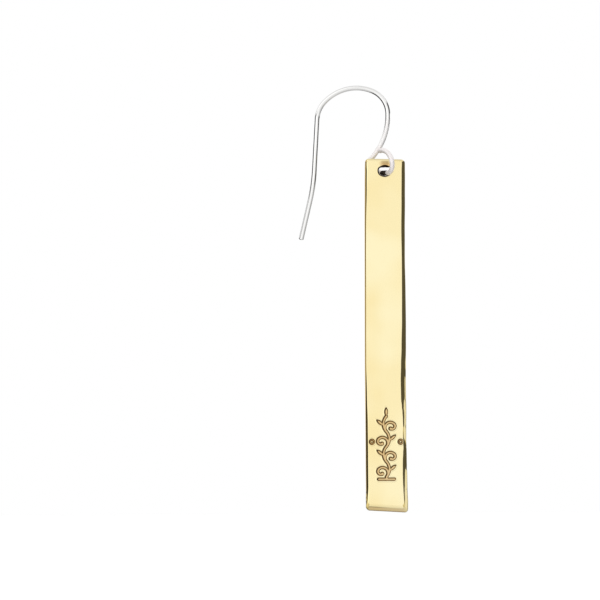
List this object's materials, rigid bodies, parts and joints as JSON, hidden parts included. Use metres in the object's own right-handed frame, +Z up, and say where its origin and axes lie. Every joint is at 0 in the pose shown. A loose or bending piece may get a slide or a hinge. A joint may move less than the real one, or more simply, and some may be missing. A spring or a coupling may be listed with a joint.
{
  "type": "bar earring",
  "caption": "Long flat brass bar earring with a stamped sprig near its foot, hanging by a hole from the open eye of a bent silver ear wire.",
  "frame": {"origin": "inside top of the hook's arch, where the ear lobe sits", "axes": "+Z up, -Y out of the bar's stamped front face, -X towards the hook's free end, which goes behind the ear"},
  "size_m": [0.0158, 0.0037, 0.0609],
  "materials": {
    "wire": "polished silver wire",
    "bar": "polished brass sheet with hand-filed edges, dark in the stamp"
  },
  "bodies": {
    "ear_wire": {"ear_wire": "wire"},
    "bar": {"bar": "bar"}
  },
  "joints": [
    {"name": "bar_swing", "type": "hinge", "parent": "ear_wire", "child": "bar", "pos_m": [0.00423, -0.001, -0.01147], "axis": [0, 1, 0], "range_deg": [-20, 30]}
  ]
}
